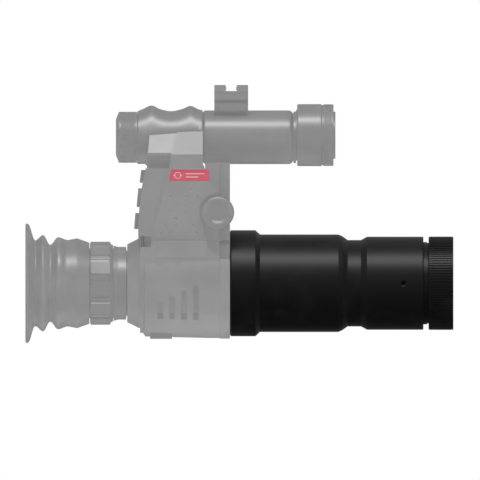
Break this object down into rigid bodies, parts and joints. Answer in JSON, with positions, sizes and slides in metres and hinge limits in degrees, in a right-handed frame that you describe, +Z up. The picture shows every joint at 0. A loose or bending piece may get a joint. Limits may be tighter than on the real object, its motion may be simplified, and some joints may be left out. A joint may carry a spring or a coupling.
{
  "type": "spotting scope",
  "caption": "Digital night spotting scope with bellows eyecup, dioptre ring, camera body with keys and side knob, long focusing objective, and a battery tube with infrared lamp and rail on top.",
  "frame": {"origin": "centre of the mouth of the tripod socket, in the foot of the body", "axes": "+X along the optical axis towards the objective, +Z up, -Y towards the side with the focusing knob"},
  "size_m": [0.2, 0.056, 0.1206],
  "materials": {
    "body_shell": "fine textured moulding, matte",
    "tower_shell": "fine textured moulding, matte",
    "anodised_grey": "satin anodised",
    "anodised_black": "satin black anodised",
    "soft_rubber": "matte moulded rubber",
    "key_rubber": "matte silicone rubber",
    "plate_red": "printed foil under clear coat",
    "optical_glass": "coated optical glass",
    "steel": "turned steel",
    "brass_part": "nickel-free turned brass",
    "board": "solder-masked circuit board",
    "chip": "moulded package with a glass window",
    "inner_plastic": "black moulded plastic",
    "battery_wrap": "shrink sleeve"
  },
  "bodies": {
    "housing": {"lower_body": "body_shell", "tripod_bush": "brass_part", "front_flange": "body_shell", "tower_left": "tower_shell", "tower_right": "tower_shell", "case_screws": "steel", "strap_pins": "steel", "keypad_panel": "tower_shell", "switch_board": "board", "main_board": "board", "saddle": "tower_shell", "side_shield_left": "tower_shell", "side_shield_right": "tower_shell", "nameplates": "plate_red", "video_socket": "brass_part", "rear_bell": "body_shell", "eyepiece_tube": "anodised_grey", "eyecup": "soft_rubber", "display_board": "board", "display_panel": "chip", "guide_rods": "steel", "guide_plate": "inner_plastic", "knob_bush": "brass_part", "objective_base": "anodised_black", "objective_tube": "anodised_black", "front_barrel": "anodised_black", "guide_screw": "steel", "battery_tube": "anodised_grey", "grip_sleeve": "anodised_grey", "battery": "battery_wrap", "lamp_neck": "anodised_grey", "lamp_emitter": "chip", "accessory_rail": "anodised_grey"},
    "focus_ring": {"focus_ring": "anodised_black"},
    "objective_cell": {"objective_cell": "anodised_black", "front_lens": "optical_glass", "lens_retainer": "anodised_black", "rear_doublet": "optical_glass"},
    "diopter_ring": {"diopter_ring": "anodised_grey"},
    "eyepiece_cell": {"eyepiece_cell": "anodised_black", "eye_lens": "optical_glass", "eyepiece_spacer": "anodised_black", "field_lens": "optical_glass", "eyepiece_retainer": "anodised_black"},
    "button_top": {"button_top": "key_rubber"},
    "button_middle": {"button_middle": "key_rubber"},
    "button_bottom": {"button_bottom": "key_rubber"},
    "focus_knob": {"focus_knob": "anodised_grey", "pinion": "brass_part"},
    "sensor_carriage": {"sensor_carriage": "inner_plastic", "sensor_board": "board", "image_sensor": "chip"},
    "cap_contact": {"cap_contact": "brass_part", "contact_spring": "steel"},
    "battery_cap": {"battery_cap": "anodised_grey"},
    "lamp_head": {"lamp_head": "anodised_grey", "lamp_bezel": "anodised_grey"},
    "lamp_cell": {"lamp_cell": "anodised_black", "lamp_lens": "optical_glass"},
    "port_cover": {"port_cover": "body_shell"}
  },
  "joints": [
    {"name": "objective_focus", "type": "hinge", "parent": "housing", "child": "focus_ring", "pos_m": [0.1308, 0, 0.026], "axis": [1, 0, 0], "range_deg": [-150, 150]},
    {"name": "objective_cell_slide", "type": "slide", "parent": "housing", "child": "objective_cell", "axis": [1, 0, 0], "range_m": [-0.00139, 0.00139]},
    {"name": "diopter_turn", "type": "hinge", "parent": "housing", "child": "diopter_ring", "pos_m": [-0.028, 0, 0.026], "axis": [1, 0, 0], "range_deg": [-150, 150]},
    {"name": "eyepiece_cell_slide", "type": "slide", "parent": "housing", "child": "eyepiece_cell", "axis": [1, 0, 0], "range_m": [-0.00199, 0.00199]},
    {"name": "press_top", "type": "slide", "parent": "housing", "child": "button_top", "axis": [1, 0, 0], "range_m": [0, 0.0006], "stiffness_N_per_m": 1500, "springref_m": -0.0005},
    {"name": "press_middle", "type": "slide", "parent": "housing", "child": "button_middle", "axis": [1, 0, 0], "range_m": [0, 0.0006], "stiffness_N_per_m": 1500, "springref_m": -0.0005},
    {"name": "press_bottom", "type": "slide", "parent": "housing", "child": "button_bottom", "axis": [1, 0, 0], "range_m": [0, 0.0006], "stiffness_N_per_m": 1500, "springref_m": -0.0005},
    {"name": "side_focus", "type": "hinge", "parent": "housing", "child": "focus_knob", "pos_m": [0.0265, -0.0183, 0.0591], "axis": [0, -1, 0], "range_deg": [-39, 39]},
    {"name": "carriage_slide", "type": "slide", "parent": "housing", "child": "sensor_carriage", "axis": [1, 0, 0], "range_m": [-0.00109, 0.00109]},
    {"name": "cap_unscrew", "type": "slide", "parent": "housing", "child": "cap_contact", "axis": [-1, 0, 0], "range_m": [0, 0.00239]},
    {"name": "cap_turn", "type": "hinge", "parent": "cap_contact", "child": "battery_cap", "pos_m": [-0.016, 0, 0.0942], "axis": [-1, 0, 0], "range_deg": [0, 576]},
    {"name": "lamp_focus", "type": "hinge", "parent": "housing", "child": "lamp_head", "pos_m": [0.07, 0, 0.0952], "axis": [1, 0, 0], "range_deg": [-120, 120]},
    {"name": "lamp_cell_slide", "type": "slide", "parent": "housing", "child": "lamp_cell", "axis": [1, 0, 0], "range_m": [-0.00099, 0.00099]},
    {"name": "port_cover_swing", "type": "hinge", "parent": "housing", "child": "port_cover", "pos_m": [0.002, 0.0246, 0.0325], "axis": [0, 0, 1], "range_deg": [0, 105]}
  ],
  "couplings": [
    {"joint": "objective_focus", "follows": "objective_cell_slide", "rad_per_m": 1883.4},
    {"joint": "diopter_turn", "follows": "eyepiece_cell_slide", "rad_per_m": 1315.5},
    {"joint": "side_focus", "follows": "carriage_slide", "rad_per_m": 623},
    {"joint": "cap_turn", "follows": "cap_unscrew", "rad_per_m": 4206.3},
    {"joint": "lamp_focus", "follows": "lamp_cell_slide", "rad_per_m": 2115.5}
  ]
}
